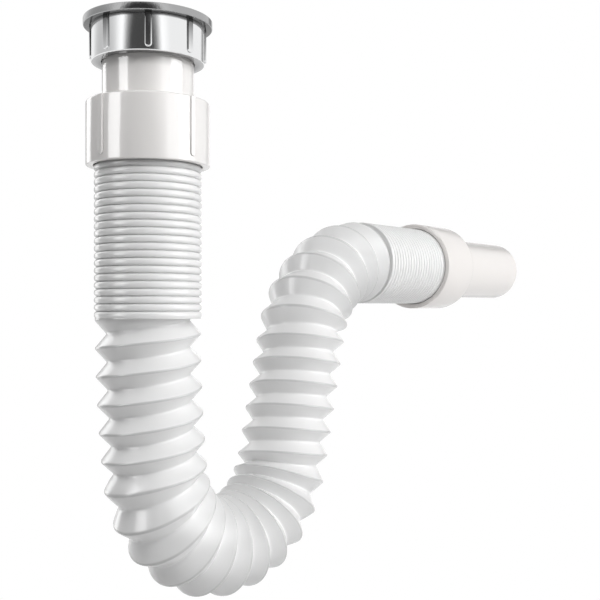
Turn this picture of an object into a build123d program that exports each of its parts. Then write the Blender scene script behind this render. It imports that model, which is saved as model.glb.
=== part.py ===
"""Flexible waste trap for a sink: coupling nut, gasket, inlet connector, bellows hose, outlet connector.

Millimetres. The origin is the centre of the nut's open face, +Z is up, +X runs to the outlet.
"""
import os
from math import ceil, cos, pi, radians, sin

from build123d import *

os.makedirs("parts", exist_ok=True)

# Fits
SPIN_GAP = 0.35
SOCKET_GAP = 0.30

# Coupling nut, for a G 1 1/2 thread
THREAD_TIP_R = 22.4
THREAD_RELIEF = 0.5
FLANGE_R = 29.4
FLANGE_H = 3.4
NUT_R = 25.8
NUT_H = 19.9
NUT_LIP_H = 2.5
NUT_RIBS = 8
NUT_RIB_W = 3.2
NUT_RIB_OUT = 0.8
NUT_RIB_FOOT = 1.4
NUT_TURN = 1.5

# Inlet connector
NECK_R = 20.9
NECK_BORE_R = 17.6
NECK_FLANGE_R = THREAD_TIP_R - SPIN_GAP
NECK_FLANGE_H = 2.5
COLLAR_TOP = -37.7
COLLAR_H = 29.4
COLLAR_R = 28.2
COLLAR_EDGE = 1.0
COLLAR_ROOF = 3.5
COLLAR_RIBS = 4
COLLAR_RIB_W = 3.0
COLLAR_RIB_OUT = 0.8
COLLAR_RIB_FOOT = 2.4

# Inlet gasket
GASKET_H = 3.0
GASKET_BORE_R = 16.8

# Bellows hose
SIDES = 18
WALL = 1.2
RIDGE_R = 24.1
VALLEY_R = 19.1
PITCH = 12.6
FIRST_RIDGE = 5.5
U_SWELL = 0.025
SHUT_R = 24.5
SHUT_DEPTH = 1.3
INLET_RING_PITCH = 3.35
OUTLET_RING_PITCH = 3.10
SHUT_BORE_R = VALLEY_R - WALL
INLET_RINGS = 21
OUTLET_RINGS = 21
RING_COVER = 2.5
CUFF_R = SHUT_R - 0.3
OPEN_TOP = -136.7

# Hose axis below the closed-up rings: a long easy bend, the U, the riser, the upper bend, the run out
EASE_R = 578.6
EASE_TURN = radians(7.15)
U_R = 48.1
LEAN = radians(14.3)
RISER = 69.9
UPPER_R = 55.8
RUN_IN = 3.6

# Outlet connector
OUT_SOCKET_R = 27.7
OUT_SOCKET_L = 34.4
OUT_SOCKET_DEPTH = 27.2
OUT_EDGE = 1.2
OUT_TUBE_R = 20.0
OUT_TUBE_WALL = 2.2
OUT_TUBE_L = 84.6
OUT_TUBE_EDGE = 0.8

LIP_TOP = -NUT_H + NUT_LIP_H
NECK_TOP = LIP_TOP + NECK_FLANGE_H
GASKET_TOP = NECK_TOP + GASKET_H
COLLAR_FOOT = COLLAR_TOP - COLLAR_H
SOCKET_ROOF = COLLAR_TOP - COLLAR_ROOF
SOCKET_R = SHUT_R + SOCKET_GAP
STRETCHES = [
    (EASE_R * EASE_TURN, 1 / EASE_R),
    (U_R * (pi - LEAN - EASE_TURN), 1 / U_R),
    (RISER, 0.0),
    (UPPER_R * (pi / 2 - LEAN), -1 / UPPER_R),
    (RUN_IN, 0.0),
]
OPEN_L = sum(length for length, bend in STRETCHES)


def axis_at(s):
    """Point and heading of the hose axis, s past the closed-up rings; heading 0 is down, pi/2 is +X."""
    x, z, heading = 0.0, OPEN_TOP, 0.0
    if s <= 0:
        return x, z - s, heading
    for length, bend in STRETCHES:
        step = min(s, length)
        if bend == 0:
            x += step * sin(heading)
            z -= step * cos(heading)
        else:
            turned = heading + step * bend
            x += (cos(heading) - cos(turned)) / bend
            z += (sin(heading) - sin(turned)) / bend
            heading = turned
        s -= step
    return x + s * sin(heading), z - s * cos(heading), heading


def swell_at(s):
    """How much wider the folds stand round the U, where the hose is bent tight."""
    share = (s - STRETCHES[0][0]) / STRETCHES[1][0]
    return 1 + U_SWELL * sin(pi * share) if 0 < share < 1 else 1.0


def skin_point(s, turn, r):
    """Point on the hose at radius r, turn being the share of a full turn around the axis."""
    x, z, heading = axis_at(s)
    wide = r * swell_at(s)
    side = wide * cos(2 * pi * turn)
    return Vector(x + side * cos(heading), -wide * sin(2 * pi * turn), z + side * sin(heading))


def fold_radius(s, turn):
    """Outer radius of the open folds: a right-handed single-start zigzag between ridge and valley."""
    share = ((s - FIRST_RIDGE) / PITCH - turn) % 1.0
    return RIDGE_R - (RIDGE_R - VALLEY_R) * (1 - abs(2 * share - 1))


def open_folds(turn):
    """Breaks (s, r) of the folds along one side of the open stretch, cut off at its two end planes."""
    first = (0.0, fold_radius(0.0, turn))
    last = (OPEN_L, fold_radius(OPEN_L, turn))
    breaks = [first]
    for half in range(-2 - 2 * ceil(FIRST_RIDGE / PITCH), 2 * ceil(OPEN_L / PITCH) + 1):
        s = FIRST_RIDGE + (half / 2 + turn) * PITCH
        if s <= 0:
            breaks.append(first)
        elif s >= OPEN_L:
            breaks.append(last)
        else:
            breaks.append((s, RIDGE_R if half % 2 == 0 else VALLEY_R))
    return breaks + [last]


def shut_rings(start, count, pitch):
    """Breaks (s, r) of a closed-up stretch of plain rings."""
    breaks = [(start, SHUT_R)]
    for ring in range(count):
        breaks.append((start + (ring + 0.5) * pitch, SHUT_R - SHUT_DEPTH))
        breaks.append((start + (ring + 1) * pitch, SHUT_R))
    return breaks


INLET_RING_L = INLET_RINGS * INLET_RING_PITCH
OUTLET_RING_L = OUTLET_RINGS * OUTLET_RING_PITCH
HOSE_TOP = OPEN_TOP - SOCKET_ROOF
AXIS_END = axis_at(OPEN_L)
OUT_MOUTH = AXIS_END[0] + OUTLET_RING_L - RING_COVER
OUT_STOP = OUT_MOUTH + OUT_SOCKET_DEPTH
OUT_SHOULDER = OUT_MOUTH + OUT_SOCKET_L
HOSE_END = OPEN_L + OUT_STOP - AXIS_END[0]


def hose_section(turn):
    """Closed outline (s, r) of the hose wall on one side: outside from inlet to outlet, inside back."""
    cuff_in = [(HOSE_TOP, CUFF_R), (-INLET_RING_L, CUFF_R)]
    cuff_out = [(OPEN_L + OUTLET_RING_L, CUFF_R), (HOSE_END, CUFF_R)]
    folds = open_folds(turn)
    outside = cuff_in + shut_rings(-INLET_RING_L, INLET_RINGS, INLET_RING_PITCH) + folds
    outside += shut_rings(OPEN_L, OUTLET_RINGS, OUTLET_RING_PITCH) + cuff_out
    inside = [(HOSE_END, SHUT_BORE_R), (OPEN_L, SHUT_BORE_R)]
    inside += [(s, r - WALL) for s, r in reversed(folds)]
    inside += [(0.0, SHUT_BORE_R), (HOSE_TOP, SHUT_BORE_R)]
    return outside + inside


def flat_faces(corners):
    """The four corners as one flat face, or as two triangles where they don't lie flat."""
    kept = []
    for corner in corners:
        if all((corner - other).length > 1e-6 for other in kept):
            kept.append(corner)
    if len(kept) < 3:
        return []
    across = (kept[1] - kept[0]).cross(kept[2] - kept[0])
    if len(kept) == 3 and across.length < 1e-6:
        return []
    if len(kept) == 3 or abs(across.normalized().dot(kept[3] - kept[0])) < 1e-7:
        return [Face(Wire.make_polygon(kept))]
    return [Face(Wire.make_polygon(kept[:3])), Face(Wire.make_polygon([kept[0], kept[2], kept[3]]))]


def hose_solid():
    """The hose wall as one solid of flat faces, SIDES of them around."""
    sections = []
    for side in range(SIDES + 1):
        turn = side / SIDES
        sections.append([skin_point(s, turn % 1.0, r) for s, r in hose_section(turn)])
    faces = []
    count = len(sections[0])
    for near, far in zip(sections, sections[1:]):
        for i in range(count):
            j = (i + 1) % count
            faces += flat_faces([near[i], near[j], far[j], far[i]])
    return Solid(Shell(faces))


with BuildPart() as coupling_nut:
    with BuildSketch(Plane.XZ):
        with BuildLine():
            Polyline(
                (THREAD_TIP_R, 0),
                (FLANGE_R, 0),
                (FLANGE_R, -FLANGE_H),
                (NUT_R, -FLANGE_H),
                (NUT_R, -NUT_H),
                (NECK_R + SPIN_GAP, -NUT_H),
                (NECK_R + SPIN_GAP, LIP_TOP),
                (THREAD_TIP_R + THREAD_RELIEF, LIP_TOP),
                (THREAD_TIP_R + THREAD_RELIEF, GASKET_TOP),
                (THREAD_TIP_R, GASKET_TOP),
                close=True,
            )
        make_face()
    revolve(axis=Axis.Z)
    rib_in = (THREAD_TIP_R + NUT_R) / 2
    rib_out = NUT_R + NUT_RIB_OUT
    with BuildSketch(Plane.XY.offset(-NUT_H + NUT_RIB_FOOT)):
        with PolarLocations((rib_in + rib_out) / 2, NUT_RIBS, start_angle=NUT_TURN):
            Rectangle(rib_out - rib_in, NUT_RIB_W)
    extrude(amount=NUT_H - NUT_RIB_FOOT - FLANGE_H)
coupling_nut.part.label = "coupling_nut"
export_step(coupling_nut.part, "parts/coupling_nut.step")

with BuildPart() as inlet_gasket:
    with BuildSketch(Plane.XY.offset(NECK_TOP)):
        Circle(NECK_FLANGE_R)
        Circle(GASKET_BORE_R, mode=Mode.SUBTRACT)
    extrude(amount=GASKET_H)
inlet_gasket.part.label = "inlet_gasket"
export_step(inlet_gasket.part, "parts/inlet_gasket.step")

with BuildPart() as inlet_connector:
    with BuildSketch(Plane.XZ):
        with BuildLine():
            Polyline(
                (NECK_BORE_R, NECK_TOP),
                (NECK_FLANGE_R, NECK_TOP),
                (NECK_FLANGE_R, LIP_TOP),
                (NECK_R, LIP_TOP),
                (NECK_R, COLLAR_TOP),
                (COLLAR_R - COLLAR_EDGE, COLLAR_TOP),
                (COLLAR_R, COLLAR_TOP - COLLAR_EDGE),
                (COLLAR_R, COLLAR_FOOT),
                (SOCKET_R, COLLAR_FOOT),
                (SOCKET_R, SOCKET_ROOF),
                (NECK_BORE_R, SOCKET_ROOF),
                close=True,
            )
        make_face()
    revolve(axis=Axis.Z)
    rib_in = (SOCKET_R + COLLAR_R) / 2
    rib_out = COLLAR_R + COLLAR_RIB_OUT
    with BuildSketch(Plane.XY.offset(COLLAR_FOOT + COLLAR_RIB_FOOT)):
        with PolarLocations((rib_in + rib_out) / 2, COLLAR_RIBS):
            Rectangle(rib_out - rib_in, COLLAR_RIB_W)
    extrude(amount=COLLAR_H - COLLAR_RIB_FOOT - COLLAR_EDGE)
inlet_connector.part.label = "inlet_connector"
export_step(inlet_connector.part, "parts/inlet_connector.step")

with BuildPart() as hose:
    add(hose_solid())
hose.part.label = "hose"
export_step(hose.part, "parts/hose.step")

with BuildPart() as outlet_connector:
    tube_end = OUT_SHOULDER + OUT_TUBE_L
    tube_bore_r = OUT_TUBE_R - OUT_TUBE_WALL
    out_axis = Plane((0, 0, AXIS_END[1]), x_dir=(1, 0, 0), z_dir=(0, -1, 0))
    with BuildSketch(out_axis):
        with BuildLine():
            Polyline(
                (OUT_MOUTH, SOCKET_R),
                (OUT_MOUTH, OUT_SOCKET_R),
                (OUT_SHOULDER - OUT_EDGE, OUT_SOCKET_R),
                (OUT_SHOULDER, OUT_SOCKET_R - OUT_EDGE),
                (OUT_SHOULDER, OUT_TUBE_R),
                (tube_end - OUT_TUBE_EDGE, OUT_TUBE_R),
                (tube_end, OUT_TUBE_R - OUT_TUBE_EDGE),
                (tube_end, tube_bore_r),
                (OUT_STOP, tube_bore_r),
                (OUT_STOP, SOCKET_R),
                close=True,
            )
        make_face()
    revolve(axis=Axis((0, 0, AXIS_END[1]), (1, 0, 0)))
outlet_connector.part.label = "outlet_connector"
export_step(outlet_connector.part, "parts/outlet_connector.step")
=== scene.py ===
"""Finished look of the flexible waste trap, on the CAD frame. Metres."""

from math import ceil, cos, hypot, pi, radians, sin

import bmesh
import bpy
from mathutils import Matrix, Vector


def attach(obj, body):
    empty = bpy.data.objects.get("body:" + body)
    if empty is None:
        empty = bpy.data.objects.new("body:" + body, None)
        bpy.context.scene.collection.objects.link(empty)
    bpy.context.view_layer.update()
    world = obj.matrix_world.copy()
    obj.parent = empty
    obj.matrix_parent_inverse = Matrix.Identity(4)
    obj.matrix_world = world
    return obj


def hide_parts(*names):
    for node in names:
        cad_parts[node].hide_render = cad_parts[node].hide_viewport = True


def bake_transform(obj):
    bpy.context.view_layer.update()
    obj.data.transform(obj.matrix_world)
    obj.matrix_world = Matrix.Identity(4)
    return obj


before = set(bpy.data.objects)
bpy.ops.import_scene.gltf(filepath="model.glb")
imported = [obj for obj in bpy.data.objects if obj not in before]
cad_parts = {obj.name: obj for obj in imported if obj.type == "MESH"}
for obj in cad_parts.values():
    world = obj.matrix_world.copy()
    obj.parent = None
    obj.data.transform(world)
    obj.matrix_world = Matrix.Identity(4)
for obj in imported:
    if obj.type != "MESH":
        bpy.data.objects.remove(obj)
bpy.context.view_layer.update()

MM = 0.001

# Sizes as in part.py, in millimetres
SPIN_GAP = 0.35
SOCKET_GAP = 0.30
THREAD_TIP_R = 22.4
FLANGE_R = 29.4
FLANGE_H = 3.4
NUT_R = 25.8
NUT_H = 19.9
NUT_LIP_H = 2.5
NUT_RIBS = 8
NUT_RIB_W = 3.2
NUT_RIB_OUT = 0.8
NUT_RIB_FOOT = 1.4
NUT_TURN = radians(1.5)
NECK_R = 20.9
NECK_BORE_R = 17.6
NECK_FLANGE_R = THREAD_TIP_R - SPIN_GAP
NECK_FLANGE_H = 2.5
GASKET_H = 3.0
COLLAR_TOP = -37.7
COLLAR_H = 29.4
COLLAR_R = 28.2
COLLAR_ROOF = 3.5
COLLAR_RIBS = 4
COLLAR_RIB_W = 3.0
COLLAR_RIB_OUT = 0.8
COLLAR_RIB_FOOT = 2.4
WALL = 1.2
RIDGE_R = 24.1
VALLEY_R = 19.1
PITCH = 12.6
FIRST_RIDGE = 5.5
U_SWELL = 0.025
SHUT_R = 24.5
SHUT_DEPTH = 1.3
INLET_RING_PITCH = 3.35
OUTLET_RING_PITCH = 3.10
INLET_RINGS = 21
OUTLET_RINGS = 21
RING_COVER = 2.5
CUFF_R = SHUT_R - 0.3
OPEN_TOP = -136.7
EASE_R = 578.6
EASE_TURN = radians(7.15)
U_R = 48.1
LEAN = radians(14.3)
RISER = 69.9
UPPER_R = 55.8
RUN_IN = 3.6
OUT_SOCKET_R = 27.7
OUT_SOCKET_L = 34.4
OUT_SOCKET_DEPTH = 27.2
OUT_TUBE_R = 20.0
OUT_TUBE_WALL = 2.2
OUT_TUBE_L = 84.6

# Sizes that only the finish has, in millimetres; FOOT_SHARE is of a rib's width
THREAD_ROOT_R = 23.7
THREAD_PITCH = 2.309
THREAD_BITE = 0.05
THREAD_START = 0.2
RIB_ROOT = 0.25
NUT_RIB_SOFT = 0.55
NUT_RIB_BITE = 0.3
COLLAR_RIB_SOFT = 0.35
COLLAR_RIB_TOP = 0.5
FOOT_SHARE = 0.48
MERGE_GAP = 0.002

# Slack for telling which face a vertex lies on, in millimetres
SKIN = 0.1
RIB_SKIN = 0.4
FLANGE_EDGE = 0.3
RIB_END = 1.0
BORE_EDGE = 1.0
BORE_EDGE_H = 0.5
MOUTH_EDGE = 0.3

# Shares of the thread's pitch where its ridge comes to its tip, leaves it and ends
THREAD_RISE = 0.45
THREAD_FALL = 0.55
THREAD_END = 0.97

# How far the painted shade reaches under a rim, in millimetres, and how deep it is
UNDER_FLANGE = 1.3
UNDER_NUT = 5.0
UNDER_COLLAR = 4.6
NECK_SHADE = 0.65
UNDER_RIM_SHADE = 0.70

# Steps round a piece, and the angle from which an edge stays sharp
ROUND_STEPS = 192
TUBE_STEPS = 160
THREAD_STEPS = 72
CORNER_STEPS = 5
FOOT_STEPS = 6
RIB_SOFT_STEPS = 4
SHARP_EDGE = 38
SHARP_FOLD = 50

LIP_TOP = -NUT_H + NUT_LIP_H
NECK_TOP = LIP_TOP + NECK_FLANGE_H
GASKET_TOP = NECK_TOP + GASKET_H
COLLAR_FOOT = COLLAR_TOP - COLLAR_H
SOCKET_ROOF = COLLAR_TOP - COLLAR_ROOF
SOCKET_R = SHUT_R + SOCKET_GAP
SHUT_BORE_R = VALLEY_R - WALL
STRETCHES = [
    (EASE_R * EASE_TURN, 1 / EASE_R),
    (U_R * (pi - LEAN - EASE_TURN), 1 / U_R),
    (RISER, 0.0),
    (UPPER_R * (pi / 2 - LEAN), -1 / UPPER_R),
    (RUN_IN, 0.0),
]
OPEN_L = sum(length for length, bend in STRETCHES)


def axis_at(s):
    """Point and heading of the hose axis, s past the closed-up rings."""
    x, z, heading = 0.0, OPEN_TOP, 0.0
    if s <= 0:
        return x, z - s, heading
    for length, bend in STRETCHES:
        step = min(s, length)
        if bend == 0:
            x += step * sin(heading)
            z -= step * cos(heading)
        else:
            turned = heading + step * bend
            x += (cos(heading) - cos(turned)) / bend
            z += (sin(heading) - sin(turned)) / bend
            heading = turned
        s -= step
    return x + s * sin(heading), z - s * cos(heading), heading


AXIS_END = axis_at(OPEN_L)
INLET_RING_L = INLET_RINGS * INLET_RING_PITCH
OUTLET_RING_L = OUTLET_RINGS * OUTLET_RING_PITCH
HOSE_TOP = OPEN_TOP - SOCKET_ROOF
OUT_MOUTH = AXIS_END[0] + OUTLET_RING_L - RING_COVER
OUT_STOP = OUT_MOUTH + OUT_SOCKET_DEPTH
OUT_SHOULDER = OUT_MOUTH + OUT_SOCKET_L
TUBE_END = OUT_SHOULDER + OUT_TUBE_L
HOSE_END = OPEN_L + OUT_STOP - AXIS_END[0]


def ease(low, high, value):
    """Smooth rise from 0 at low to 1 at high."""
    share = min(1.0, max(0.0, (value - low) / (high - low)))
    return share * share * (3 - 2 * share)


def finish_mesh(bm, name, soft_angle):
    """Object from the bmesh, whose lengths are millimetres, smooth up to the soft angle."""
    bmesh.ops.remove_doubles(bm, verts=bm.verts, dist=MERGE_GAP)
    bmesh.ops.recalc_face_normals(bm, faces=bm.faces)
    bmesh.ops.scale(bm, vec=(MM, MM, MM), verts=bm.verts)
    mesh = bpy.data.meshes.new(name)
    bm.to_mesh(mesh)
    bm.free()
    mesh.polygons.foreach_set("use_smooth", [True] * len(mesh.polygons))
    mesh.set_sharp_from_angle(angle=radians(soft_angle))
    obj = bpy.data.objects.new(name, mesh)
    bpy.context.scene.collection.objects.link(obj)
    return obj


def join_to(bm, other):
    """Moves all of the other bmesh into this one."""
    mesh = bpy.data.meshes.new("joined")
    other.to_mesh(mesh)
    other.free()
    bm.from_mesh(mesh)
    bpy.data.meshes.remove(mesh)


def joined_line(bm, spots):
    """Wire through the spots, with its vertices and edges."""
    verts = [bm.verts.new(spot) for spot in spots]
    return verts + [bm.edges.new(pair) for pair in zip(verts, verts[1:])]


def turned(corners, centre, axis, steps):
    """Turned body: corners are (spot, rounding). They are rounded, then the outline is spun full round."""
    bm = bmesh.new()
    verts = [bm.verts.new(spot) for spot, rounding in corners]
    bm.faces.new(verts)
    for vert, (spot, rounding) in zip(verts, corners):
        if rounding > 0:
            bmesh.ops.bevel(
                bm, geom=[vert], offset=rounding, offset_type="OFFSET", segments=CORNER_STEPS,
                profile=0.5, affect="VERTICES", material=-1,
            )
    bmesh.ops.delete(bm, geom=bm.faces[:], context="FACES_ONLY")
    bmesh.ops.spin(
        bm, geom=[*bm.verts, *bm.edges], cent=centre, axis=axis, dvec=(0, 0, 0),
        angle=2 * pi, steps=steps, use_merge=True,
    )
    return bm


def upright(r, z):
    """Spot on an outline about the upright axis of nut and inlet."""
    return (r, 0.0, z)


def level(r, x):
    """Spot on an outline about the level axis of the outlet."""
    return (x, 0.0, AXIS_END[1] + r)


def add_ribs(bm, count, turn, inner, outer, width, low, high, rounding):
    """Ribs around Z: one block with a round foot and soft edges, then copies of it all round."""
    middle = Vector(((inner + outer) / 2, 0, (low + high) / 2))
    place = Matrix.Rotation(turn, 4, "Z") @ Matrix.Translation(middle)
    block = bmesh.ops.create_cube(bm, size=1.0)["verts"]
    bmesh.ops.scale(bm, vec=(outer - inner, width, high - low), verts=block)
    foot = [
        e for e in {e for v in block for e in v.link_edges}
        if all(v.co.z < 0 and v.co.y == e.verts[0].co.y for v in e.verts)
    ]
    cut = bmesh.ops.bevel(
        bm, geom=foot, offset=width * FOOT_SHARE, offset_type="OFFSET", segments=FOOT_STEPS,
        profile=0.5, affect="EDGES", material=-1,
    )
    verts = {v for v in block if v.is_valid} | set(cut["verts"])
    top = (outer - inner) / 2 - 0.001
    rim = [
        e for e in {e for v in verts for e in v.link_edges}
        if all(v.co.x > top for v in e.verts)
    ]
    soft = bmesh.ops.bevel(
        bm, geom=rim, offset=rounding, offset_type="OFFSET", segments=RIB_SOFT_STEPS,
        profile=0.5, affect="EDGES", material=-1,
    )
    verts = {v for v in verts if v.is_valid} | set(soft["verts"])
    bmesh.ops.transform(bm, matrix=place, verts=list(verts))
    edges = {e for v in verts for e in v.link_edges}
    faces = {f for v in verts for f in v.link_faces}
    bmesh.ops.spin(
        bm, geom=[*verts, *edges, *faces], cent=(0, 0, 0), axis=(0, 0, 1), dvec=(0, 0, 0),
        angle=2 * pi * (count - 1) / count, steps=count - 1, use_duplicate=True,
    )


# Coupling nut: flanged body with a lip, ribs, and the thread as a wound ridge in the bore
bm = turned([
    (upright(THREAD_ROOT_R, 0), 0.5),
    (upright(FLANGE_R, 0), 0.4),
    (upright(FLANGE_R, -FLANGE_H), 0.4),
    (upright(NUT_R, -FLANGE_H), 0.2),
    (upright(NUT_R, -FLANGE_H - UNDER_FLANGE), 0),
    (upright(NUT_R, -NUT_H), 0.5),
    (upright(NECK_R + SPIN_GAP, -NUT_H), 0.4),
    (upright(NECK_R + SPIN_GAP, LIP_TOP), 0.2),
    (upright(THREAD_ROOT_R, LIP_TOP), 0.2),
], (0, 0, 0), (0, 0, 1), ROUND_STEPS)
add_ribs(
    bm, NUT_RIBS, NUT_TURN, NUT_R - RIB_ROOT, NUT_R + NUT_RIB_OUT, NUT_RIB_W,
    -NUT_H + NUT_RIB_FOOT, -FLANGE_H + NUT_RIB_BITE, NUT_RIB_SOFT,
)
thread = bmesh.new()
turns = int(-GASKET_TOP / THREAD_PITCH - 1)
low = GASKET_TOP + THREAD_START
ridge = joined_line(thread, [
    upright(THREAD_ROOT_R + THREAD_BITE, low),
    upright(THREAD_TIP_R, low + THREAD_PITCH * THREAD_RISE),
    upright(THREAD_TIP_R, low + THREAD_PITCH * THREAD_FALL),
    upright(THREAD_ROOT_R + THREAD_BITE, low + THREAD_PITCH * THREAD_END),
])
ridge.append(thread.edges.new((ridge[3], ridge[0])))
bmesh.ops.spin(
    thread, geom=ridge, cent=(0, 0, 0), axis=(0, 0, 1), dvec=(0, 0, THREAD_PITCH / THREAD_STEPS),
    angle=2 * pi * turns, steps=THREAD_STEPS * turns,
)
bmesh.ops.remove_doubles(thread, verts=thread.verts, dist=MERGE_GAP)
bmesh.ops.holes_fill(thread, edges=[e for e in thread.edges if e.is_boundary], sides=4)
join_to(bm, thread)
# Painted shade under the flange, at the foot of the ribs and where the neck goes in
painted_shade = bm.verts.layers.float.new("painted_shade")
for vert in bm.verts:
    r, z = hypot(vert.co.x, vert.co.y), vert.co.z
    on_body = NUT_R - SKIN < r < FLANGE_R - FLANGE_EDGE
    in_rib_foot = NUT_R - RIB_SKIN < r <= NUT_R - SKIN and -NUT_H + RIB_END < z < -FLANGE_H
    at_bore = r < NECK_R + BORE_EDGE and z < -NUT_H + BORE_EDGE_H
    if on_body:
        vert[painted_shade] = ease(-FLANGE_H - UNDER_FLANGE, -FLANGE_H - FLANGE_EDGE, z)
    elif in_rib_foot:
        vert[painted_shade] = 1.0
    elif at_bore:
        vert[painted_shade] = UNDER_RIM_SHADE
# The flange and the rim below are brushed, the body is plated bright
for face in bm.faces:
    spot = face.calc_center_median()
    on_flange = spot.z > -FLANGE_H - 0.05 and hypot(spot.x, spot.y) > NUT_R
    on_lower_rim = spot.z < -NUT_H + 0.02
    face.material_index = 1 if on_flange or on_lower_rim else 0
nut = finish_mesh(bm, "coupling_nut_finish", SHARP_EDGE)
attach(nut, "nut")
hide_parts("coupling_nut")

# Inlet connector: flanged neck and ribbed collar
bm = turned([
    (upright(NECK_BORE_R, NECK_TOP), 0.4),
    (upright(NECK_FLANGE_R, NECK_TOP), 0.3),
    (upright(NECK_FLANGE_R, LIP_TOP), 0.2),
    (upright(NECK_R, LIP_TOP), 0.2),
    (upright(NECK_R, -NUT_H), 0),
    (upright(NECK_R, -NUT_H - UNDER_NUT), 0),
    (upright(NECK_R, COLLAR_TOP), 0.4),
    (upright(COLLAR_R, COLLAR_TOP), 1.1),
    (upright(COLLAR_R, COLLAR_FOOT), 0.6),
    (upright(SOCKET_R, COLLAR_FOOT), 0.5),
    (upright(SOCKET_R, SOCKET_ROOF), 0.3),
    (upright(NECK_BORE_R, SOCKET_ROOF), 0.4),
], (0, 0, 0), (0, 0, 1), ROUND_STEPS)
add_ribs(
    bm, COLLAR_RIBS, 0.0, COLLAR_R - RIB_ROOT, COLLAR_R + COLLAR_RIB_OUT, COLLAR_RIB_W,
    COLLAR_FOOT + COLLAR_RIB_FOOT, COLLAR_TOP - COLLAR_RIB_TOP, COLLAR_RIB_SOFT,
)
# Painted shade on the neck under the nut, and at the foot of the ribs
painted_shade = bm.verts.layers.float.new("painted_shade")
for vert in bm.verts:
    r, z = hypot(vert.co.x, vert.co.y), vert.co.z
    on_neck = abs(r - NECK_R) < 0.05 and z < LIP_TOP - 0.5
    in_ribs = COLLAR_FOOT + RIB_END < z < COLLAR_TOP - 1.2
    in_rib_foot = in_ribs and COLLAR_R - RIB_SKIN < r < COLLAR_R - SKIN
    if on_neck:
        vert[painted_shade] = ease(-NUT_H - UNDER_NUT, -NUT_H, z) * NECK_SHADE
    elif in_rib_foot:
        vert[painted_shade] = 1.0
connector = finish_mesh(bm, "inlet_connector_finish", SHARP_EDGE)
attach(connector, "trap")
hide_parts("inlet_connector")

# Outlet connector: socket, shoulder and plain tube
bm = turned([
    (level(SOCKET_R, OUT_MOUTH), 0.5),
    (level(OUT_SOCKET_R, OUT_MOUTH), 0.6),
    (level(OUT_SOCKET_R, OUT_SHOULDER), 1.6),
    (level(OUT_TUBE_R, OUT_SHOULDER), 1.0),
    (level(OUT_TUBE_R, TUBE_END), 0.8),
    (level(OUT_TUBE_R - OUT_TUBE_WALL, TUBE_END), 0.5),
    (level(OUT_TUBE_R - OUT_TUBE_WALL, OUT_STOP), 0.3),
    (level(SOCKET_R, OUT_STOP), 0.3),
], (0, 0, AXIS_END[1]), (1, 0, 0), TUBE_STEPS)
# Painted shade on the rim round the hose
painted_shade = bm.verts.layers.float.new("painted_shade")
for vert in bm.verts:
    if vert.co.x < OUT_MOUTH + MOUTH_EDGE:
        vert[painted_shade] = 1.0
outlet = finish_mesh(bm, "outlet_connector_finish", SHARP_EDGE)
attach(outlet, "outlet")
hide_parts("outlet_connector")

# Hose: made straight along Z, then bent along its axis
AROUND = 84
FOLD_SHARES = [
    0.0, 0.012, 0.036, 0.060, 0.10, 0.20, 0.33, 0.42, 0.465,
    0.5, 0.535, 0.58, 0.67, 0.80, 0.90, 0.940, 0.964, 0.988,
]
RING_SHARES = [0.06, 0.15, 0.28, 0.42, 0.58, 0.72, 0.85, 0.94, 1.0]
RIDGE_SOFT = 0.060
VALLEY_SOFT = 0.05
BURIED = 0.4
# Painted shade: how far below the ridge the crest line reaches, and how dark it and the shade next to the
# rings are
CREST_SHADE_REACH = 0.06
PAINTED_LINE_SHADE = 0.58
RING_SHADE_L = 2.4
INLET_RING_SHADE = 0.36
OUTLET_RING_SHADE = 0.75
RING_END_R = SHUT_R - 0.35
RING_FLATNESS = 3.4
RING_SHADE_DEPTH = 0.45
CUT_GAP = 0.0005


def fold_depth(share):
    """Depth of the fold below its ridge, 0 to 1, rounded off at both; share runs ridge to ridge."""
    off = min(share, 1 - share) * 2
    if off < RIDGE_SOFT * 2:
        return off * off / (4 * RIDGE_SOFT)
    low = 1 - RIDGE_SOFT - VALLEY_SOFT
    if off > 1 - VALLEY_SOFT * 2:
        return min(1.0, 1 - (1 - off) ** 2 / (4 * VALLEY_SOFT) / low)
    return (off - RIDGE_SOFT) / low


def wound_folds(shares, cut):
    """Skin of the open folds: all in one line, spun once round over one pitch, and cut off flat."""
    bm = bmesh.new()
    line = []
    for fold in range(-2, ceil(OPEN_L / PITCH) + 1):
        for share in shares:
            r = RIDGE_R - (RIDGE_R - VALLEY_R) * fold_depth(share) - cut
            line.append((r, 0, FIRST_RIDGE + (fold + share) * PITCH))
    bmesh.ops.spin(
        bm, geom=joined_line(bm, line), cent=(0, 0, 0), axis=(0, 0, 1),
        dvec=(0, 0, PITCH / AROUND), angle=2 * pi, steps=AROUND,
    )
    bmesh.ops.remove_doubles(bm, verts=bm.verts, dist=MERGE_GAP)
    for height, way in ((-BURIED, -1), (OPEN_L + BURIED, 1)):
        bmesh.ops.bisect_plane(
            bm, geom=[*bm.verts, *bm.edges, *bm.faces], plane_co=(0, 0, height),
            plane_no=(0, 0, way), dist=CUT_GAP, clear_outer=True,
        )
    return bm


def fold_wall():
    """The folded wall: outer and inner skin, with a flat rim between them at both cut ends."""
    bm = wound_folds(FOLD_SHARES, 0.0)
    join_to(bm, wound_folds([0.0, 0.5], WALL))
    for height in (-BURIED, OPEN_L + BURIED):
        rims = [
            e for e in bm.edges
            if e.is_boundary and all(abs(v.co.z - height) < 0.01 for v in e.verts)
        ]
        bmesh.ops.triangle_fill(bm, edges=rims, use_beauty=True, normal=(0, 0, 1))
    return bm


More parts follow.
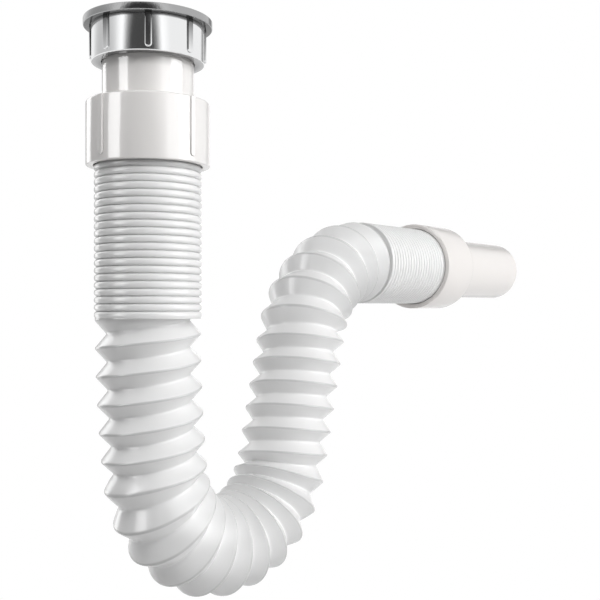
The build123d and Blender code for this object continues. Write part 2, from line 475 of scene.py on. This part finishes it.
def ring_block(start, count, pitch, cuff):
    """Closed-up rings as one turned wall, with the plain cuff that sits in the socket at one end."""
    bm = bmesh.new()
    line = [(RING_END_R, 0, start)]
    for ring in range(count):
        for share in RING_SHARES:
            r = SHUT_R - SHUT_DEPTH * abs(2 * share - 1) ** RING_FLATNESS
            at_end = (ring == 0 and share < 0.5) or (ring == count - 1 and share > 0.5)
            line.append((max(r, RING_END_R) if at_end else r, 0, start + (ring + share) * pitch))
    end = start + count * pitch
    if cuff < start:
        line = [
            (SHUT_BORE_R, 0, cuff), (CUFF_R, 0, cuff), (CUFF_R, 0, start),
            *line, (SHUT_BORE_R, 0, end),
        ]
    else:
        line = [
            (SHUT_BORE_R, 0, start), *line,
            (CUFF_R, 0, end), (CUFF_R, 0, cuff), (SHUT_BORE_R, 0, cuff),
        ]
    wire = joined_line(bm, line)
    wire.append(bm.edges.new((wire[len(line) - 1], wire[0])))
    bmesh.ops.spin(
        bm, geom=wire, cent=(0, 0, 0), axis=(0, 0, 1), dvec=(0, 0, 0),
        angle=2 * pi, steps=AROUND, use_merge=True,
    )
    return bm


def swell_at(s):
    """How much wider the folds stand round the U, where the hose is bent tight."""
    share = (s - STRETCHES[0][0]) / STRETCHES[1][0]
    return 1 + U_SWELL * sin(pi * share) if 0 < share < 1 else 1.0


bm = fold_wall()
join_to(bm, ring_block(-INLET_RING_L, INLET_RINGS, INLET_RING_PITCH, HOSE_TOP))
join_to(bm, ring_block(OPEN_L, OUTLET_RINGS, OUTLET_RING_PITCH, HOSE_END))
# Painted shade between the rings, under the collar, in a thin line along each ridge's crest and next to
# the rings; then the bend
painted_shade = bm.verts.layers.float.new("painted_shade")
for vert in bm.verts:
    across, around, s = vert.co
    r = hypot(across, around)
    past_folds = s < -0.5 or s > OPEN_L + 0.5
    if past_folds and r > SHUT_R - SHUT_DEPTH - SKIN:
        under_collar = ease(UNDER_COLLAR - INLET_RING_L, -INLET_RING_L, s) if s < 0 else 0.0
        ring_shade = INLET_RING_SHADE if s < 0 else OUTLET_RING_SHADE
        between = ease(SHUT_R - RING_SHADE_DEPTH, SHUT_R - SHUT_DEPTH, r) * ring_shade
        vert[painted_shade] = max(between, under_collar)
    elif r > SHUT_BORE_R + 0.5:
        # Painted shade in a thin line along each ridge's crest, and next to the ring blocks
        crest_shade = ease(CREST_SHADE_REACH * 3, CREST_SHADE_REACH, RIDGE_R - r) * PAINTED_LINE_SHADE
        at_rings = ease(RING_SHADE_L, 0.0, min(s, OPEN_L - s)) * PAINTED_LINE_SHADE
        vert[painted_shade] = max(crest_shade, at_rings)
    x, z, heading = axis_at(s)
    wide = swell_at(s)
    across *= wide
    vert.co = (x + across * cos(heading), -around * wide, z + across * sin(heading))
hose = finish_mesh(bm, "hose_finish", SHARP_FOLD)
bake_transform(hose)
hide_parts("hose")


# Materials
CLOUD_SCALE = 60.0
GRAIN_SCALE = 900.0
GRAIN_HEIGHT = 0.0002
ROUGHNESS_SPREAD = 0.03


def plain_material(name, color, roughness, metallic=0.0, bump=0.0, shine=0.5, painted_shade=0.0):
    """Surface with a fine uneven finish from noise in object space, and painted shade from a vertex
    attribute that darkens its base colour.
    """
    mat = bpy.data.materials.new(name)
    mat.use_nodes = True
    nodes = mat.node_tree.nodes
    links = mat.node_tree.links
    shader = nodes["Principled BSDF"]
    shader.inputs["Base Color"].default_value = (*color, 1)
    shader.inputs["Metallic"].default_value = metallic
    shader.inputs["Specular IOR Level"].default_value = shine
    coords = nodes.new("ShaderNodeTexCoord")
    noise = nodes.new("ShaderNodeTexNoise")
    noise.inputs["Scale"].default_value = CLOUD_SCALE
    noise.inputs["Detail"].default_value = 3.0
    links.new(coords.outputs["Object"], noise.inputs["Vector"])
    spread = nodes.new("ShaderNodeMapRange")
    spread.inputs["To Min"].default_value = roughness - ROUGHNESS_SPREAD
    spread.inputs["To Max"].default_value = roughness + ROUGHNESS_SPREAD
    links.new(noise.outputs["Fac"], spread.inputs["Value"])
    links.new(spread.outputs["Result"], shader.inputs["Roughness"])
    # Painted shade: the vertex attribute darkens the base colour by up to the given amount
    if painted_shade > 0:
        painted_shade_amount = nodes.new("ShaderNodeAttribute")
        painted_shade_amount.attribute_name = "painted_shade"
        shade = nodes.new("ShaderNodeMapRange")
        shade.inputs["To Min"].default_value = 1.0
        shade.inputs["To Max"].default_value = 1.0 - painted_shade
        links.new(painted_shade_amount.outputs["Fac"], shade.inputs["Value"])
        tone = nodes.new("ShaderNodeVectorMath")
        tone.operation = "SCALE"
        tone.inputs[0].default_value = color
        links.new(shade.outputs["Result"], tone.inputs["Scale"])
        links.new(tone.outputs["Vector"], shader.inputs["Base Color"])
    if bump > 0:
        fine = nodes.new("ShaderNodeTexNoise")
        fine.inputs["Scale"].default_value = GRAIN_SCALE
        fine.inputs["Detail"].default_value = 2.0
        links.new(coords.outputs["Object"], fine.inputs["Vector"])
        lift = nodes.new("ShaderNodeBump")
        lift.inputs["Strength"].default_value = bump
        lift.inputs["Distance"].default_value = GRAIN_HEIGHT
        links.new(fine.outputs["Fac"], lift.inputs["Height"])
        links.new(lift.outputs["Normal"], shader.inputs["Normal"])
    return mat


# Where a material is given a shade amount, it sets how dark its painted shade is
chrome = plain_material(
    "plated_chrome", (0.84, 0.845, 0.85), 0.13,
    metallic=1.0, bump=0.05, painted_shade=0.85,
)
brushed = plain_material(
    "brushed_chrome", (0.40, 0.402, 0.405), 0.14,
    metallic=1.0, bump=0.25, painted_shade=0.85,
)
white = plain_material(
    "connector_plastic", (0.82, 0.803, 0.79), 0.11,
    bump=0.02, shine=1.0, painted_shade=0.60,
)
satin = plain_material(
    "hose_plastic", (0.81, 0.81, 0.81), 0.22,
    bump=0.04, shine=0.6, painted_shade=0.48,
)
ivory = plain_material(
    "outlet_plastic", (0.80, 0.77, 0.75), 0.14,
    bump=0.02, shine=0.8, painted_shade=0.10,
)
rubber = plain_material("seal_rubber", (0.035, 0.035, 0.035), 0.6, bump=0.2)

nut.data.materials.append(chrome)
nut.data.materials.append(brushed)
connector.data.materials.append(white)
hose.data.materials.append(satin)
outlet.data.materials.append(ivory)
OWN = {
    "coupling_nut": chrome,
    "inlet_gasket": rubber,
    "inlet_connector": white,
    "hose": satin,
    "outlet_connector": ivory,
}
for node_name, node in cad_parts.items():
    node.data.materials.clear()
    node.data.materials.append(OWN[node_name])

# Camera, from the outlines in the photograph
FORWARD = Vector((0.7947, 0.6070, 0))
RIGHT = Vector((0.6070, -0.7947, 0))
UP = Vector((0, 0, 1))
CAMERA_PLACE = Vector((-0.3040, -0.3201, -0.1310))
LENS = 56.81
SENSOR = 36.0
FRAME_SHIFT = 0.0101
camera_data = bpy.data.cameras.new("camera")
camera_data.sensor_width = SENSOR
camera_data.lens = LENS
camera_data.shift_y = FRAME_SHIFT
camera = bpy.data.objects.new("camera", camera_data)
bpy.context.scene.collection.objects.link(camera)
turn = Matrix((RIGHT, UP, -FORWARD)).transposed().to_4x4()
camera.matrix_world = Matrix.Translation(CAMERA_PLACE) @ turn
bpy.context.scene.camera = camera

# Light: soft lamps, and two tall softboxes that only show as reflections.
# Lamps that show in shiny faces are kept off the nut, which reflects the bright room alone.
AIM = Vector((0.13, 0, -0.13))
all_but_nut = bpy.data.collections.new("all_but_nut")
all_but_nut.objects.link(nut)
all_but_nut.collection_objects[0].light_linking.link_state = "EXCLUDE"


def area_light(name, right, toward, up, size, power, lights=True, shows=True):
    """Lamp aimed at the trap, placed from it to the camera's right, toward the camera and up."""
    data = bpy.data.lights.new(name, "AREA")
    data.shape = "RECTANGLE"
    data.size = size[0]
    data.size_y = size[1]
    data.energy = power
    obj = bpy.data.objects.new(name, data)
    obj.visible_diffuse = lights
    obj.visible_glossy = shows
    if shows:
        obj.light_linking.receiver_collection = all_but_nut
    bpy.context.scene.collection.objects.link(obj)
    place = AIM + RIGHT * right - FORWARD * toward + UP * up
    aimed = (AIM - place).to_track_quat("-Z", "Y").to_matrix().to_4x4()
    obj.matrix_world = Matrix.Translation(place) @ aimed


area_light("front", 0.70, 1.25, 1.05, (1.2, 1.0), 17.4, shows=False)
area_light("right", 1.60, 0.25, 0.35, (1.0, 1.2), 14.6)
area_light("left", -0.95, 0.55, 1.20, (1.0, 1.0), 5.4, shows=False)
area_light("rim_left", -1.00, -0.67, 0.25, (0.45, 1.3), 4.1)
area_light("behind", 0.20, -1.60, 0.30, (0.8, 0.8), 7.5, shows=False)
area_light("behind_left", -0.85, -1.45, 0.45, (0.9, 0.9), 9.0, shows=False)
area_light("softbox_right", 1.00, 0.63, 0.42, (0.95, 1.3), 6.5, lights=False)
area_light("softbox_left", -1.06, 0.79, 0.30, (0.52, 1.3), 9.5, lights=False)

# Room: a soft even light, white for the camera, and flags and a wall for shiny faces
AMBIENT = 0.115
FLAG_TURN = radians(3.5)
FLAG_TONES = (
    (0.035, 0.40), (0.070, 0.40), (0.095, 1.0), (0.770, 1.0), (0.880, 1.25), (0.928, 0.36),
)
FIRST_TONE = (0.020, 1.0)
LAST_TONE = (0.960, 0.07)
WALL_SPAN = (-0.98, -0.70)
WALL_TONE = 0.60


def grey(tone):
    return (tone, tone, tone, 1)


world = bpy.data.worlds.new("studio")
bpy.context.scene.world = world
world.use_nodes = True
nodes = world.node_tree.nodes
links = world.node_tree.links
nodes.clear()
path = nodes.new("ShaderNodeLightPath")
seen = nodes.new("ShaderNodeMath")
seen.operation = "MAXIMUM"
links.new(path.outputs["Is Camera Ray"], seen.inputs[0])
links.new(path.outputs["Is Transmission Ray"], seen.inputs[1])
# Dark flags in front and behind and a grey wall at the left, for shiny faces only
coords = nodes.new("ShaderNodeTexCoord")
toward = nodes.new("ShaderNodeVectorMath")
toward.operation = "DOT_PRODUCT"
toward.inputs[1].default_value = FORWARD * cos(FLAG_TURN) + RIGHT * sin(FLAG_TURN)
links.new(coords.outputs["Generated"], toward.inputs[0])
facing = nodes.new("ShaderNodeMapRange")
facing.inputs["From Min"].default_value = 1.0
facing.inputs["From Max"].default_value = -1.0
links.new(toward.outputs["Value"], facing.inputs["Value"])
flags = nodes.new("ShaderNodeValToRGB")
steps = flags.color_ramp.elements
steps[0].position, steps[0].color = FIRST_TONE[0], grey(FIRST_TONE[1])
steps[1].position, steps[1].color = LAST_TONE[0], grey(LAST_TONE[1])
for place, tone in FLAG_TONES:
    steps.new(place).color = grey(tone)
links.new(facing.outputs["Result"], flags.inputs["Fac"])
sideways = nodes.new("ShaderNodeVectorMath")
sideways.operation = "DOT_PRODUCT"
sideways.inputs[1].default_value = RIGHT
links.new(coords.outputs["Generated"], sideways.inputs[0])
wall = nodes.new("ShaderNodeMapRange")
wall.interpolation_type = "SMOOTHSTEP"
wall.inputs["From Min"].default_value = WALL_SPAN[0]
wall.inputs["From Max"].default_value = WALL_SPAN[1]
wall.inputs["To Min"].default_value = WALL_TONE
wall.inputs["To Max"].default_value = 1.0
links.new(sideways.outputs["Value"], wall.inputs["Value"])
soft = nodes.new("ShaderNodeBackground")
soft.inputs["Color"].default_value = grey(1.0)
soft.inputs["Strength"].default_value = AMBIENT
mirrored = nodes.new("ShaderNodeBackground")
links.new(flags.outputs["Color"], mirrored.inputs["Color"])
links.new(wall.outputs["Result"], mirrored.inputs["Strength"])
bright = nodes.new("ShaderNodeBackground")
bright.inputs["Color"].default_value = grey(1.0)
bright.inputs["Strength"].default_value = 1.0
shiny = nodes.new("ShaderNodeMixShader")
links.new(path.outputs["Is Glossy Ray"], shiny.inputs["Fac"])
links.new(soft.outputs[0], shiny.inputs[1])
links.new(mirrored.outputs[0], shiny.inputs[2])
mix = nodes.new("ShaderNodeMixShader")
links.new(seen.outputs[0], mix.inputs["Fac"])
links.new(shiny.outputs[0], mix.inputs[1])
links.new(bright.outputs[0], mix.inputs[2])
out = nodes.new("ShaderNodeOutputWorld")
links.new(mix.outputs[0], out.inputs["Surface"])

# Floor, well below the hanging trap: it keeps the shadow near the trap, is white further off,
# and is clear from below
FLOOR_Z = -0.60
FLOOR_SIZE = 6.0
FLOOR_TONE = 0.70
FLOOR_ROUGHNESS = 0.9
SHADOW_REACH = (0.40, 0.88)
bm = bmesh.new()
bmesh.ops.create_grid(
    bm, x_segments=1, y_segments=1, size=FLOOR_SIZE,
    matrix=Matrix.Translation((0, 0, FLOOR_Z)),
)
floor_mesh = bpy.data.meshes.new("floor")
bm.to_mesh(floor_mesh)
bm.free()
ground = bpy.data.objects.new("floor", floor_mesh)
bpy.context.scene.collection.objects.link(ground)
pale = bpy.data.materials.new("pale_floor")
pale.use_nodes = True
nodes = pale.node_tree.nodes
links = pale.node_tree.links
diffuse = nodes["Principled BSDF"]
diffuse.inputs["Base Color"].default_value = grey(FLOOR_TONE)
diffuse.inputs["Roughness"].default_value = FLOOR_ROUGHNESS
path = nodes.new("ShaderNodeLightPath")
mirrored = nodes.new("ShaderNodeMath")
mirrored.operation = "MAXIMUM"
links.new(path.outputs["Is Glossy Ray"], mirrored.inputs[0])
links.new(path.outputs["Is Transmission Ray"], mirrored.inputs[1])
seen = nodes.new("ShaderNodeMath")
seen.operation = "MAXIMUM"
links.new(path.outputs["Is Camera Ray"], seen.inputs[0])
links.new(mirrored.outputs[0], seen.inputs[1])
coords = nodes.new("ShaderNodeTexCoord")
reach = nodes.new("ShaderNodeVectorMath")
reach.operation = "DISTANCE"
reach.inputs[1].default_value = (AIM.x, AIM.y, FLOOR_Z)
links.new(coords.outputs["Object"], reach.inputs[0])
far = nodes.new("ShaderNodeMapRange")
far.interpolation_type = "SMOOTHSTEP"
far.inputs["From Min"].default_value = SHADOW_REACH[0]
far.inputs["From Max"].default_value = SHADOW_REACH[1]
links.new(reach.outputs["Value"], far.inputs["Value"])
white_out = nodes.new("ShaderNodeMath")
white_out.operation = "MULTIPLY"
links.new(seen.outputs[0], white_out.inputs[0])
links.new(far.outputs["Result"], white_out.inputs[1])
glow = nodes.new("ShaderNodeEmission")
glow.inputs["Strength"].default_value = 1.0
mix = nodes.new("ShaderNodeMixShader")
links.new(white_out.outputs[0], mix.inputs["Fac"])
links.new(diffuse.outputs[0], mix.inputs[1])
links.new(glow.outputs[0], mix.inputs[2])
side = nodes.new("ShaderNodeNewGeometry")
clear = nodes.new("ShaderNodeBsdfTransparent")
one_way = nodes.new("ShaderNodeMixShader")
links.new(side.outputs["Backfacing"], one_way.inputs["Fac"])
links.new(mix.outputs[0], one_way.inputs[1])
links.new(clear.outputs[0], one_way.inputs[2])
links.new(one_way.outputs[0], nodes["Material Output"].inputs["Surface"])
floor_mesh.materials.append(pale)

bpy.context.scene.view_settings.view_transform = "Standard"
